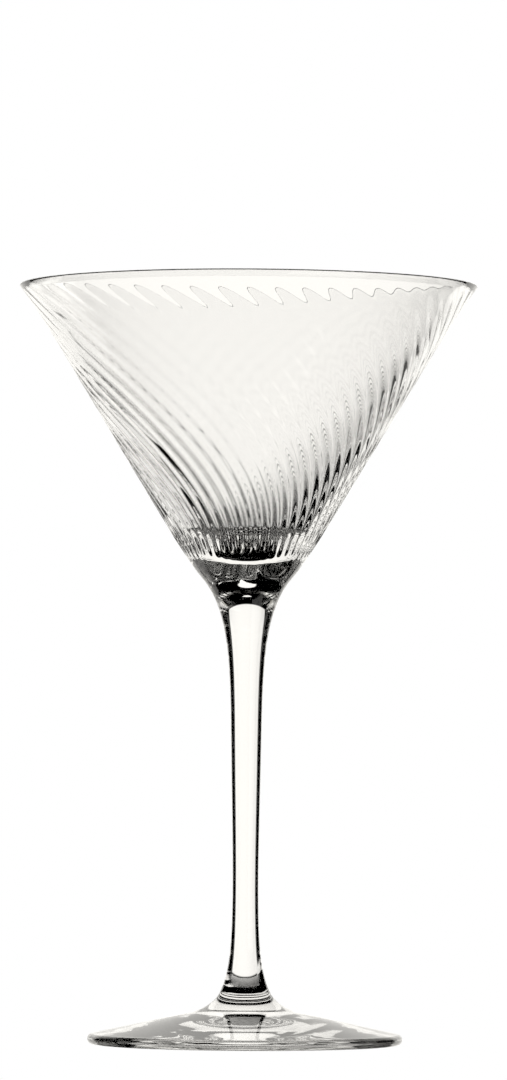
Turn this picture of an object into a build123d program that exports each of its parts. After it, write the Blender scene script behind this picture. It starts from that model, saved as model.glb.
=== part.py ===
from build123d import *
import os
from math import cos, exp, pi, radians, sin

# A stemmed cocktail glass, in millimetres.  +Z is up and the origin is the middle of the
# flat ring that the foot stands on.  The glass is three gathers of glass fused hot: a conical
# bowl blown in a ribbed mould and then twisted, a drawn stem, and a pressed foot.

# ---- driving dimensions ----
glass_height = 190.0
rim_diameter = 114.6
foot_diameter = 78.8

bowl_joint_height = 114.8       # where the bowl is fused to the stem
bowl_joint_diameter = 19.9
bowl_joint_slope = 0.72         # outward run for each millimetre of rise at the joint
bowl_shoulder = (13.4, 119.2)   # radius and height of a point on the bowl's rounded base
cone_start_height = 128.0       # above this the bowl is a straight cone
cone_start_diameter = 38.5
cone_slope = 0.606              # outward run for each millimetre of rise
flare_height = 14.0             # under the lip the cone opens a little more
lip_radius = 0.4                # the lip is rounded over this height
lip_spread = 0.2                # how much the round lip takes off the sharp corner

wall_at_rim = 1.1               # level thickness of the bowl's wall, from inside to a rib's crest
wall_at_floor = 4.4
cavity_wall_start = 129.6       # above this the inside of the bowl is as straight as the outside
cavity_floor_height = 123.3     # the base of the bowl is solid below this
floor_edge = (12.0, 127.8)      # radius and height where the round floor turns up
floor_edge_slope = 1.4

rib_count = 50
rib_depth = 1.05                # from crest to groove where the cone starts
rib_stretch = 26.0              # the ribs flatten to 1/e over this height, as the glass stretched
rib_start_height = 121.5        # on the round base the ribs grow from here
rib_full_height = 126.5
rib_fade_height = 8.0           # they melt away over this height under the lip
twist_rate = 1.36               # degrees that a rib turns for each mm, clockwise from above
twist_start_height = 125.0
twist_ease = 11.0               # the ribs lean over gradually, over about this height
first_rib_angle = -88.7

stem_waist = (3.2, 36.0)        # radius and height of the thinnest place
stem_shaft_top = (3.75, 81.0)
stem_top_flare = (6.2, 9.35)    # added radius at the joint, and the height over which it fades
stem_bottom_flare = (3.05, 6.3)

foot_joint_height = 13.0        # where the stem is fused to the foot
foot_joint_diameter = 12.5
foot_joint_slope = 0.48         # outward run for each millimetre of fall at the joint
foot_throat = (8.9, 10.0)       # radius and height of a point on the foot's trumpet
foot_slope_start = (13.3, 8.0)  # top of the foot's straight shallow cone
foot_edge_thickness = 2.6
rest_ring_width = 4.5           # the flat ring under the foot's edge
foot_hollow_depth = 1.4         # the underside is dished inside the ring

# ---- worked out from them ----
rim_radius = rim_diameter / 2
foot_radius = foot_diameter / 2
cone_start_radius = cone_start_diameter / 2
flare_start_height = glass_height - flare_height
corner_radius = rim_radius + lip_spread                        # the lip before it is rounded
lip_flare = corner_radius - cone_start_radius - cone_slope * (glass_height - cone_start_height)
rim_slope = cone_slope + 2 * lip_flare / flare_height
wall_slope = (wall_at_floor - wall_at_rim) / (glass_height - lip_radius - cavity_wall_start)

# ---- how the ribs, the lip and the stem are drawn ----
base_sections = 6               # ribbed outlines from the joint up to the cone
cone_sections = 12              # and from there to a little above the rim
blank_top = glass_height + 2.0  # the ribbed blank is drawn past the rim, then cut
above_rim = blank_top + 1.0
beyond_rim = rim_radius + 3.0
lip_overcut = 0.12              # the round of the lip runs out this far past the wall
curve_halvings = 30             # steps to find a height on a curve
points_per_rib = 4
ribs_per_arc = 10
stem_points = 24


def ease(low, high, value):
    """0 below low, 1 above high, and a smooth step between them."""
    share = min(1.0, max(0.0, (value - low) / (high - low)))
    return share * share * (3 - 2 * share)


def outer_radius(height):
    """Outer radius of the bowl's cone, on the crests of its ribs."""
    flared = max(0.0, height - flare_start_height) / flare_height
    return cone_start_radius + cone_slope * (height - cone_start_height) + lip_flare * flared**2


def inner_radius(height):
    """Radius of the smooth inside of the bowl; the wall thins upwards."""
    wall = wall_at_rim + wall_slope * (glass_height - lip_radius - height)
    return outer_radius(height) - wall


def groove_depth(height):
    """How deep the grooves between the ribs are at a height."""
    depth = rib_depth * exp(-max(0.0, height - cone_start_height) / rib_stretch)
    lip_height = glass_height - lip_radius
    melted = ease(lip_height - rib_fade_height, lip_height, height)
    return depth * ease(rib_start_height, rib_full_height, height) * (1 - melted)


def rib_turn(height):
    """The angle a rib has turned at a height, in degrees."""
    rise = max(0.0, height - twist_start_height)
    return first_rib_angle - twist_rate * (rise - twist_ease * (1 - exp(-rise / twist_ease)))


def turned(outline):
    """A solid of revolution about Z from an outline drawn in the XZ plane."""
    return revolve(make_face(Plane.XZ * outline), axis=Axis.Z)


def base_curve():
    """The rounded base of the bowl, from the stem up to the cone."""
    return Spline(
        [
            (bowl_joint_diameter / 2, bowl_joint_height),
            bowl_shoulder,
            (cone_start_radius, cone_start_height),
        ],
        tangents=[(bowl_joint_slope, 1.0), (cone_slope, 1.0)],
    )


def base_radius(height):
    """Radius of the rounded base at a height, found on its curve."""
    curve = base_curve()
    low, high = 0.0, 1.0
    for _ in range(curve_halvings):
        middle = (low + high) / 2
        if (curve @ middle).Y < height:
            low = middle
        else:
            high = middle
    return (curve @ low).X


def ribbed_section(height):
    """The closed ribbed outline of the bowl at one height, in arcs of ten ribs each."""
    crest = outer_radius(height) if height >= cone_start_height else base_radius(height)
    depth = groove_depth(height)
    steps = ribs_per_arc * points_per_rib
    arcs = []
    for first_rib in range(0, rib_count, ribs_per_arc):
        points = []
        for step in range(steps + 1):
            radius = crest - depth * (0.5 - 0.5 * cos(2 * pi * step / points_per_rib))
            angle = radians((first_rib + step / points_per_rib) * 360 / rib_count + rib_turn(height))
            points.append(Vector(radius * cos(angle), radius * sin(angle), height))
        ends = [Vector(-points[0].Y, points[0].X, 0), Vector(-points[-1].Y, points[-1].X, 0)]
        arcs.append(Edge.make_spline(points, tangents=ends, parameters=range(steps + 1)))
    return Wire(arcs)


def ribbed_blank():
    """The solid outside of the bowl, lofted through outlines that turn on their way up."""
    base_rise = (cone_start_height - bowl_joint_height) / base_sections
    heights = [bowl_joint_height + base_rise * n for n in range(base_sections)]
    cone_rise = (blank_top - cone_start_height) / cone_sections
    heights += [cone_start_height + cone_rise * n for n in range(cone_sections + 1)]
    return Solid.make_loft([ribbed_section(height) for height in heights])


def cavity():
    """The smooth inside of the bowl with the melted lip above it: all that the blank loses."""
    corner = (inner_radius(cavity_wall_start), cavity_wall_start)
    flare_start = (inner_radius(flare_start_height), flare_start_height)
    lip_height = glass_height - lip_radius
    lip_inside = (inner_radius(lip_height), lip_height)
    lip_top = (inner_radius(lip_height) + wall_at_rim / 2, glass_height)
    lip_outside = (outer_radius(lip_height) + lip_overcut, lip_height - lip_overcut)
    wall_run = cone_slope + wall_slope
    outline = [
        Spline([(0, cavity_floor_height), floor_edge], tangents=[(1, 0), (floor_edge_slope, 1.0)]),
        Spline([floor_edge, corner], tangents=[(floor_edge_slope, 1.0), (wall_run, 1.0)]),
        Line(corner, flare_start),
        Spline([flare_start, lip_inside], tangents=[(wall_run, 1.0), (rim_slope + wall_slope, 1.0)]),
        ThreePointArc(lip_inside, lip_top, lip_outside),
        Line(lip_outside, (beyond_rim, lip_outside[1])),
        Line((beyond_rim, lip_outside[1]), (beyond_rim, above_rim)),
        Line((beyond_rim, above_rim), (0, above_rim)),
        Line((0, above_rim), (0, cavity_floor_height)),
    ]
    return turned(Curve() + outline)


def bowl():
    """The conical bowl with its solid base, ribbed outside, with a melted round lip."""
    return ribbed_blank() - cavity()


def stem_radius(height):
    """Radius of the drawn stem: a slim shaft that flares at both ends."""
    waist_radius, waist_height = stem_waist
    top_radius, top_height = stem_shaft_top
    shaft = waist_radius + (top_radius - waist_radius) * ease(waist_height, top_height, height)
    above = stem_top_flare[0] * exp(-(bowl_joint_height - height) / stem_top_flare[1])
    below = stem_bottom_flare[0] * exp(-(height - foot_joint_height) / stem_bottom_flare[1])
    return shaft + above + below


def stem():
    """The drawn stem: a waist near its foot, and a trumpet at each end."""
    rise = (bowl_joint_height - foot_joint_height) / stem_points
    side_points = []
    for n in range(stem_points + 1):
        height = foot_joint_height + rise * n
        side_points.append((stem_radius(height), height))
    outline = [
        Line((0, foot_joint_height), side_points[0]),
        Spline(side_points),
        Line(side_points[-1], (0, bowl_joint_height)),
        Line((0, bowl_joint_height), (0, foot_joint_height)),
    ]
    return turned(Curve() + outline)


def foot():
    """The round foot: a trumpet down to a shallow cone, a round edge and a dished underside."""
    joint = foot_joint_diameter / 2
    edge = foot_edge_thickness / 2
    hollow = foot_radius - rest_ring_width
    slope = (foot_slope_start[1] - foot_edge_thickness) / (foot_radius - edge - foot_slope_start[0])
    trumpet = Spline(
        [(joint, foot_joint_height), foot_throat, foot_slope_start],
        tangents=[(foot_joint_slope, -1.0), (1.0, -slope)],
    )
    rim = ThreePointArc(
        (foot_radius - edge, foot_edge_thickness), (foot_radius, edge), (foot_radius - edge, 0)
    )
    underside = TangentArc((0, foot_hollow_depth), (hollow, 0), tangent=(1, 0))
    outline = [
        Line((0, foot_hollow_depth), (0, foot_joint_height)),
        Line((0, foot_joint_height), (joint, foot_joint_height)),
        trumpet,
        Line(foot_slope_start, (foot_radius - edge, foot_edge_thickness)),
        rim,
        Line((foot_radius - edge, 0), (hollow, 0)),
        underside,
    ]
    return turned(Curve() + outline)


os.makedirs("parts", exist_ok=True)
for name, piece in {"bowl": bowl(), "stem": stem(), "foot": foot()}.items():
    export_step(piece, f"parts/{name}.step")
    print(name, round(piece.volume, 1), piece.is_valid)
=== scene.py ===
import math

import bpy
import bmesh
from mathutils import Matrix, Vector


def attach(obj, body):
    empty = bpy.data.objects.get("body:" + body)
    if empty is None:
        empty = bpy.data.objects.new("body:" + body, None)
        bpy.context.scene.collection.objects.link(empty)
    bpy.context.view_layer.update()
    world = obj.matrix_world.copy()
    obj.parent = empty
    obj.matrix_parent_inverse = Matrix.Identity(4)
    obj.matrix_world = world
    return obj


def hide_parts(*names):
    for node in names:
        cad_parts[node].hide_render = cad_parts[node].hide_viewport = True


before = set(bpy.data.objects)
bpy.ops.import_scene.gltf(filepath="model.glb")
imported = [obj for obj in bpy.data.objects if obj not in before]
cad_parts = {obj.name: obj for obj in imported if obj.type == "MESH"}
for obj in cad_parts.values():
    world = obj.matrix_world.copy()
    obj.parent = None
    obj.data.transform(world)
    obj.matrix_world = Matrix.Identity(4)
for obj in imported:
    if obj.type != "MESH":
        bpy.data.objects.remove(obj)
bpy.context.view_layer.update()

mm = 0.001


def hexColour(code):
    # sRGB hex to the linear colour that the shaders work in
    parts = [int(code[i:i + 2], 16) / 255 for i in (1, 3, 5)]
    linear = [c / 12.92 if c <= 0.04045 else ((c + 0.055) / 1.055) ** 2.4 for c in parts]
    return (*linear, 1.0)


def addNode(tree, kind, links=None, **settings):
    # one node: settings name its properties, links give a value or another node's socket
    node = tree.nodes.new(kind)
    for name, value in settings.items():
        setattr(node, name, value)
    for socket, value in (links or {}).items():
        if isinstance(value, bpy.types.NodeSocket):
            tree.links.new(value, node.inputs[socket])
        else:
            node.inputs[socket].default_value = value
    return node


def easeIn(low, high, value):
    t = min(1.0, max(0.0, (value - low) / (high - low)))
    return t * t * (3 - 2 * t)


def curveThrough(points, startSlope, endSlope, steps):
    # smooth (height, radius) line through points; slopes are (rise, run) at its two ends
    slopes = [Vector(startSlope)]
    for before, after in zip(points, points[2:]):
        slopes.append((Vector(after) - Vector(before)).normalized())
    slopes.append(Vector(endSlope))
    line = []
    for i in range(len(points) - 1):
        a, b = Vector(points[i]), Vector(points[i + 1])
        reach = (b - a).length
        ta, tb = slopes[i].normalized() * reach, slopes[i + 1].normalized() * reach
        for step in range(steps):
            t = step / steps
            line.append(tuple(
                a * (2 * t ** 3 - 3 * t ** 2 + 1) + ta * (t ** 3 - 2 * t ** 2 + t)
                + b * (3 * t ** 2 - 2 * t ** 3) + tb * (t ** 3 - t ** 2)
            ))
    line.append(tuple(points[-1]))
    return line


def spinSkin(name, rings, columns, place, capSlots):
    # a closed skin of rings round Z with a fan of faces over each end
    # place(ring, share) gives (radius, angle, height) for a share 0..1 of the way round
    bm = bmesh.new()
    rows = []
    for ring in rings:
        row = []
        for column in range(columns):
            radius, angle, height = place(ring, column / columns)
            spot = (radius * math.cos(angle), radius * math.sin(angle), height)
            row.append(bm.verts.new(Vector(spot) * mm))
        rows.append(row)
    for low, high in zip(rows, rows[1:]):
        for column in range(columns):
            after = (column + 1) % columns
            bm.faces.new((low[column], low[after], high[after], high[column])).smooth = True
    for row, slotNumber in zip((rows[0], rows[-1]), capSlots):
        hub = bm.verts.new(sum((v.co for v in row), Vector()) / columns)
        for column in range(columns):
            face = bm.faces.new((row[column], row[(column + 1) % columns], hub))
            face.material_index = slotNumber
            face.smooth = slotNumber == 0
            if slotNumber:
                bm.edges.get((row[column], row[(column + 1) % columns])).smooth = False
    bmesh.ops.recalc_face_normals(bm, faces=bm.faces)
    mesh = bpy.data.meshes.new(name)
    bm.to_mesh(mesh)
    bm.free()
    piece = bpy.data.objects.new(name, mesh)
    bpy.context.scene.collection.objects.link(piece)
    return piece


cameraSet = {
    "lens": 216.6,
    "sensorWidth": 36.0,
    "place": (0.0, -1.6275, 0.0712),
    "tiltUp": 1.932,       # degrees
    "turnRight": 0.0647,
    "roll": -0.3025,
}

studioSet = {
    "paper": "#FFFFFF",
    "lamp": "#FFFDF8",
    "windows": [
        # azimuth of the middle from +Y towards +X, half width, lowest and highest elevation and
        # softness of the edges, all in degrees, then strength
        # in order: the backlight, the lamp overhead, then windows that light the other sides
        (0, 36.5, -20, 34, 2.0, 1.12),
        (0, 181, 80, 95, 2.0, 1.2),
        (90, 17, -20, 20, 2.0, 1.0),
        (-90, 17, -20, 20, 2.0, 1.0),
        (135, 22, -45, 8, 2.0, 1.0),
        (-45, 13, -36, -15, 4.0, 0.85),
    ],
    "fallMiddle": 8.5,     # the backlight is brightest at this azimuth
    "fall": 0.164,         # and loses this share of its light
    "fallWidth": 39.0,     # this many degrees away
    "floorRadius": 0.6,    # metres
    "floorSides": 128,
    "bounces": 32,         # light crosses many skins of glass before it leaves
    "glossyBounces": 16,
}


def makeCamera(values):
    data = bpy.data.cameras.new("camera")
    data.lens = values["lens"]
    data.sensor_width = values["sensorWidth"]
    camera = bpy.data.objects.new("camera", data)
    bpy.context.scene.collection.objects.link(camera)
    camera.location = values["place"]
    camera.rotation_euler = [
        math.radians(90 + values["tiltUp"]),
        math.radians(values["roll"]),
        math.radians(-values["turnRight"]),
    ]
    bpy.context.scene.camera = camera


def fadeBetween(tree, value, low, high, soft):
    # 1 inside low..high, fading to 0 over soft degrees at each end
    rise = addNode(tree, "ShaderNodeMapRange", {0: value, 1: low - soft / 2, 2: low + soft / 2},
                   interpolation_type="SMOOTHSTEP")
    fall = addNode(tree, "ShaderNodeMapRange", {0: value, 1: high - soft / 2, 2: high + soft / 2,
                                                3: 1.0, 4: 0.0}, interpolation_type="SMOOTHSTEP")
    both = addNode(tree, "ShaderNodeMath", {0: rise.outputs[0], 1: fall.outputs[0]}, operation="MULTIPLY")
    return both.outputs[0]


def makeStudio(values):
    # the lens sees white paper; the glass sees lit windows with a dark room between them,
    # which is what draws its black lines
    world = bpy.data.worlds.new("studio")
    bpy.context.scene.world = world
    world.use_nodes = True
    tree = world.node_tree
    tree.nodes.clear()
    where = addNode(tree, "ShaderNodeTexCoord").outputs["Generated"]
    axes = addNode(tree, "ShaderNodeSeparateXYZ", {0: where}).outputs
    around = addNode(tree, "ShaderNodeMath", {0: axes[0], 1: axes[1]}, operation="ARCTAN2").outputs[0]
    azimuth = addNode(tree, "ShaderNodeMath", {0: around}, operation="DEGREES").outputs[0]
    rise = addNode(tree, "ShaderNodeMath", {0: axes[2]}, operation="ARCSINE").outputs[0]
    elevation = addNode(tree, "ShaderNodeMath", {0: rise}, operation="DEGREES").outputs[0]
    light = None
    for middle, halfWidth, low, high, soft, strength in values["windows"]:
        turned = addNode(tree, "ShaderNodeMath", {0: azimuth, 1: middle}, operation="SUBTRACT")
        wrapped = addNode(tree, "ShaderNodeMath", {0: turned.outputs[0], 1: -180, 2: 180},
                          operation="WRAP").outputs[0]
        across = fadeBetween(tree, wrapped, -halfWidth, halfWidth, soft)
        upright = fadeBetween(tree, elevation, low, high, soft)
        both = addNode(tree, "ShaderNodeMath", {0: across, 1: upright}, operation="MULTIPLY").outputs[0]
        lit = addNode(tree, "ShaderNodeMath", {0: both, 1: strength}, operation="MULTIPLY").outputs[0]
        if light is None:   # only the first window, the backlight, dims away from its middle
            off = addNode(tree, "ShaderNodeMath", {0: azimuth, 1: values["fallMiddle"]},
                          operation="SUBTRACT")
            part = addNode(tree, "ShaderNodeMath", {0: off.outputs[0], 1: values["fallWidth"]},
                           operation="DIVIDE")
            square = addNode(tree, "ShaderNodeMath", {0: part.outputs[0], 1: 2.0}, operation="POWER")
            dim = addNode(tree, "ShaderNodeMath", {0: square.outputs[0], 1: -values["fall"], 2: 1.0},
                          operation="MULTIPLY_ADD")
            light = addNode(tree, "ShaderNodeMath", {0: lit, 1: dim.outputs[0]},
                            operation="MULTIPLY").outputs[0]
        else:
            light = addNode(tree, "ShaderNodeMath", {0: lit, 1: light}, operation="MAXIMUM").outputs[0]
    paper = addNode(tree, "ShaderNodeBackground", {"Color": hexColour(values["paper"])})
    lamps = addNode(tree, "ShaderNodeBackground", {"Color": hexColour(values["lamp"]), "Strength": light})
    seen = addNode(tree, "ShaderNodeLightPath").outputs["Is Camera Ray"]
    mix = addNode(tree, "ShaderNodeMixShader", {0: seen, 1: lamps.outputs[0], 2: paper.outputs[0]})
    addNode(tree, "ShaderNodeOutputWorld", {0: mix.outputs[0]})


def makeFloor(values):
    # the lens sees an evenly glowing white table; for the light inside the glass it is clear
    bm = bmesh.new()
    bmesh.ops.create_circle(bm, cap_ends=True, segments=values["floorSides"], radius=values["floorRadius"])
    mesh = bpy.data.meshes.new("lightTable")
    bm.to_mesh(mesh)
    bm.free()
    floor = bpy.data.objects.new("lightTable", mesh)
    bpy.context.scene.collection.objects.link(floor)
    # opal acrylic sheet, cast: it shows no lamp behind it, only an even white
    material = bpy.data.materials.new("opalAcrylic")
    material.use_nodes = True
    tree = material.node_tree
    tree.nodes.clear()
    seen = addNode(tree, "ShaderNodeLightPath").outputs["Is Camera Ray"]
    clear = addNode(tree, "ShaderNodeBsdfTransparent")
    glow = addNode(tree, "ShaderNodeEmission", {"Color": hexColour(values["paper"]), "Strength": 1.0})
    mix = addNode(tree, "ShaderNodeMixShader", {0: seen, 1: clear.outputs[0], 2: glow.outputs[0]})
    addNode(tree, "ShaderNodeOutputMaterial", {0: mix.outputs[0]})
    mesh.materials.append(material)


makeCamera(cameraSet)
makeStudio(studioSet)
makeFloor(studioSet)
scene = bpy.context.scene
scene.view_settings.view_transform = "Standard"
scene.cycles.max_bounces = studioSet["bounces"]
scene.cycles.transmission_bounces = studioSet["bounces"]
scene.cycles.glossy_bounces = studioSet["glossyBounces"]
scene.cycles.transparent_max_bounces = studioSet["glossyBounces"]
print("studio ready")

glassSet = {
    "ior": 1.52,
    "tint": "#FFFFFF",
    "roughness": 0.0,       # fire-polished
    "bodyColour": "#C8C6C0",
    "bodyDensity": 3.0,     # per metre, so only the thick parts darken
    "waveSize": 7.0,        # mm from one soft ripple of the melt to the next
    "waveHeight": 0.003,    # mm
    "cordSize": 1.1,        # mm between the fine cords that the glass was drawn out in
    "cordStretch": 9.0,     # how many times longer than wide a cord is
    "cordHeight": 0.0002,
}


def makeGlass(name, values):
    # soda-lime glass, blown and fire-polished: a mirror-smooth skin with hardly any colour, which
    # still wavers softly where the melt rippled and shows fine upright cords where it was drawn
    material = bpy.data.materials.new(name)
    material.use_nodes = True
    tree = material.node_tree
    tree.nodes.clear()
    where = addNode(tree, "ShaderNodeTexCoord").outputs["Object"]
    ripple = addNode(tree, "ShaderNodeTexNoise", {
        "Vector": where, "Scale": 1 / (values["waveSize"] * mm), "Detail": 1.0, "Roughness": 0.4,
    }).outputs["Fac"]
    drawn = addNode(tree, "ShaderNodeVectorMath", {0: where, 1: (1.0, 1.0, 1 / values["cordStretch"])},
                    operation="MULTIPLY").outputs[0]
    cords = addNode(tree, "ShaderNodeTexNoise", {
        "Vector": drawn, "Scale": 1 / (values["cordSize"] * mm), "Detail": 2.0, "Roughness": 0.5,
    }).outputs["Fac"]
    soft = addNode(tree, "ShaderNodeBump", {
        "Height": ripple, "Strength": 1.0, "Distance": values["waveHeight"] * mm,
    }).outputs[0]
    skin = addNode(tree, "ShaderNodeBump", {
        "Height": cords, "Strength": 1.0, "Distance": values["cordHeight"] * mm, "Normal": soft,
    }).outputs[0]
    shader = addNode(tree, "ShaderNodeBsdfPrincipled", {
        "Normal": skin,
        "Base Color": hexColour(values["tint"]),
        "Roughness": values["roughness"],
        "IOR": values["ior"],
        "Transmission Weight": 1.0,
    })
    body = addNode(tree, "ShaderNodeVolumeAbsorption", {
        "Color": hexColour(values["bodyColour"]),
        "Density": values["bodyDensity"],
    })
    addNode(tree, "ShaderNodeOutputMaterial", {0: shader.outputs[0], 1: body.outputs[0]})
    return material


def makeFusedJoint():
    # where glass was fused to glass there is no surface left, so light crosses it unbent
    material = bpy.data.materials.new("fusedJoint")
    material.use_nodes = True
    tree = material.node_tree
    tree.nodes.clear()
    clear = addNode(tree, "ShaderNodeBsdfTransparent")
    addNode(tree, "ShaderNodeOutputMaterial", {0: clear.outputs[0]})
    return material


blownGlass = makeGlass("blownGlass", glassSet)
fusedJoint = makeFusedJoint()


def finishPiece(piece, node):
    piece.data.materials.append(blownGlass)
    piece.data.materials.append(fusedJoint)
    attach(piece, "root")
    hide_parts(node)


bowlSet = {
    "height": 190.0,
    "rimRadius": 57.3,
    "jointHeight": 114.8,  # where the bowl is fused to the stem
    "jointRadius": 9.95,
    "jointSlope": 0.72,    # outward run for each mm of rise
    "shoulder": (119.2, 13.4),
    "baseSteps": 8,
    "coneHeight": 128.0,
    "coneRadius": 19.25,
    "coneSlope": 0.606,
    "flareHeight": 14.0,
    "lipRadius": 0.4,
    "lipSpread": 0.37,     # how much the round lip takes off the sharp corner
    "lipSteps": 8,
    "rimWall": 1.1,        # level thickness at the lip
    "floorHeight": 123.3,  # lowest point of the cavity
    "floorEdge": (127.8, 12.0),
    "floorEdgeSlope": 1.4,
    "floorSteps": 14,
    "wallStart": 129.6,    # the inner wall is straight above this
    "wallStartSlope": 0.661,
    "lowWall": 4.4,        # level thickness at wallStart
    "ribs": 50,
    "ribDepth": 1.05,      # crest to groove where the cone starts
    "ribStretch": 26.0,    # height over which the stretched glass flattens them to 1/e
    "ribStart": (121.5, 126.5),   # the ribs grow between these heights
    "ribFade": 8.0,        # and melt away over this height under the lip
    "turnRate": 1.36,      # degrees a rib turns for each mm of rise
    "turnStart": 125.0,
    "turnEase": 11.0,      # the turn builds up over about this height
    "firstRib": -88.7,     # degrees
    "outerSteps": 40,
    "innerSteps": 60,
    "ribSamples": 12,
}


def outerRadius(height, v):
    flareStart = v["height"] - v["flareHeight"]
    corner = v["rimRadius"] + v["lipSpread"]
    straight = v["coneRadius"] + v["coneSlope"] * (height - v["coneHeight"])
    flare = corner - v["coneRadius"] - v["coneSlope"] * (v["height"] - v["coneHeight"])
    return straight + flare * (max(0.0, height - flareStart) / v["flareHeight"]) ** 2


def ribTurn(height, v):
    rise = max(0.0, height - v["turnStart"])
    ease = v["turnEase"]
    return -v["turnRate"] * (rise - ease * (1 - math.exp(-rise / ease)))


def ribDepth(height, v):
    depth = v["ribDepth"] * math.exp(-max(0.0, height - v["coneHeight"]) / v["ribStretch"])
    melt = 1 - easeIn(v["height"] - v["lipRadius"] - v["ribFade"], v["height"] - v["lipRadius"], height)
    return depth * easeIn(*v["ribStart"], height) * melt


def makeBowl(v):
    lip = v["lipRadius"]
    top = v["height"]
    rings = []
    base = curveThrough(
        [(v["jointHeight"], v["jointRadius"]), v["shoulder"], (v["coneHeight"], v["coneRadius"])],
        (1.0, v["jointSlope"]), (1.0, v["coneSlope"]), v["baseSteps"])
    for height, radius in base[:-1]:
        rings.append((height, radius, "outer"))
    steps = v["outerSteps"]
    for step in range(steps + 1):
        height = v["coneHeight"] + (top - lip - v["coneHeight"]) * step / steps
        rings.append((height, outerRadius(height, v), "outer"))
    lipOut = outerRadius(top - lip, v)
    lipIn = lipOut - v["rimWall"]
    half = (lipOut - lipIn) / 2
    for step in range(1, v["lipSteps"]):
        angle = math.pi * step / v["lipSteps"]
        radius = (lipOut + lipIn) / 2 + half * math.cos(angle)
        rings.append((top - lip + lip * math.sin(angle), radius, "lip"))
    steps = v["innerSteps"]
    wallStart = v["wallStart"]
    for step in range(steps):
        share = step / steps
        height = top - lip - (top - lip - wallStart) * share
        wall = (v["lowWall"] - v["rimWall"]) * share
        rings.append((height, outerRadius(height, v) - v["rimWall"] - wall, "inner"))
    corner = (wallStart, outerRadius(wallStart, v) - v["lowWall"])
    edgeSlope = (1.0, v["floorEdgeSlope"])
    shoulder = curveThrough([v["floorEdge"], corner], edgeSlope, (1.0, v["wallStartSlope"]), v["floorSteps"])
    floor = curveThrough([(v["floorHeight"], 0.0), v["floorEdge"]], (0.0, 1.0), edgeSlope, v["floorSteps"])
    for height, radius in reversed(floor[1:-1] + shoulder):
        rings.append((height, radius, "inner"))

    def place(ring, share):
        height, radius, side = ring
        turn = math.radians(v["firstRib"] + ribTurn(height, v))
        if side == "outer":
            radius -= ribDepth(height, v) * (0.5 - 0.5 * math.cos(2 * math.pi * share * v["ribs"]))
        return radius, 2 * math.pi * share + turn, height

    return spinSkin("bowlGlass", rings, v["ribs"] * v["ribSamples"], place, (1, 0))


bowl = makeBowl(bowlSet)
finishPiece(bowl, "bowl")
print("bowl ready", len(bowl.data.polygons))

stemSet = {
    "low": 13.0,
    "high": 114.8,
    "shaft": (36.0, 3.2, 81.0, 3.75),      # height and radius at its waist and near its top
    "topFlare": (6.2, 9.35),               # how much it flares at the bowl, and over what height
    "bottomFlare": (3.05, 6.3),            # and at the foot
    "rings": 150,
    "columns": 128,
}


def stemRadius(height, v):
    lowHeight, lowRadius, highHeight, highRadius = v["shaft"]
    shaft = lowRadius + (highRadius - lowRadius) * easeIn(lowHeight, highHeight, height)
    top = v["topFlare"][0] * math.exp(-(v["high"] - height) / v["topFlare"][1])
    bottom = v["bottomFlare"][0] * math.exp(-(height - v["low"]) / v["bottomFlare"][1])
    return shaft + top + bottom


def makeStem(v):
    rings = []
    for step in range(v["rings"] + 1):
        height = v["low"] + (v["high"] - v["low"]) * step / v["rings"]
        rings.append((height, stemRadius(height, v)))

    def place(ring, share):
        height, radius = ring
        return radius, 2 * math.pi * share, height

    return spinSkin("stemGlass", rings, v["columns"], place, (1, 1))


stem = makeStem(stemSet)
finishPiece(stem, "stem")
print("stem ready", len(stem.data.polygons))

footSet = {
    "radius": 39.4,
    "edge": 1.3,                # radius of its round edge
    "jointHeight": 13.0,        # where the foot is fused to the stem
    "jointRadius": 6.25,
    "jointSlope": 0.48,         # outward run for each mm of fall
    "throat": (10.0, 8.9),
    "throatSteps": 14,
    "slopeStart": (8.0, 13.3),  # top of the straight shallow cone
    "slopeSteps": 24,
    "edgeSteps": 16,
    "restRing": 4.5,            # width of the flat ring that it stands on
    "hollow": 1.4,              # the underside is dished inside the ring
    "hollowSteps": 24,
    "columns": 256,
}


def makeFoot(v):
    edge = v["edge"]
    hollowRadius = v["radius"] - v["restRing"]
    edgeRadius = v["radius"] - edge
    slope = (v["slopeStart"][0] - 2 * edge) / (edgeRadius - v["slopeStart"][1])
    rings = curveThrough([(v["jointHeight"], v["jointRadius"]), v["throat"], v["slopeStart"]],
                         (-1.0, v["jointSlope"]), (-slope, 1.0), v["throatSteps"])
    for step in range(1, v["slopeSteps"] + 1):
        share = step / v["slopeSteps"]
        rings.append((v["slopeStart"][0] + (2 * edge - v["slopeStart"][0]) * share,
                      v["slopeStart"][1] + (edgeRadius - v["slopeStart"][1]) * share))
    for step in range(1, v["edgeSteps"] + 1):
        angle = math.pi * step / v["edgeSteps"]
        rings.append((edge + edge * math.cos(angle), edgeRadius + edge * math.sin(angle)))
    rings.append((0.0, (edgeRadius + hollowRadius) / 2))
    for step in range(v["hollowSteps"]):
        share = 1 - step / v["hollowSteps"]
        rings.append((v["hollow"] * (1 - share ** 2), hollowRadius * share))

    def place(ring, share):
        height, radius = ring
        return radius, 2 * math.pi * share, height

    return spinSkin("footGlass", rings, v["columns"], place, (1, 0))


foot = makeFoot(footSet)
finishPiece(foot, "foot")
print("foot ready", len(foot.data.polygons))
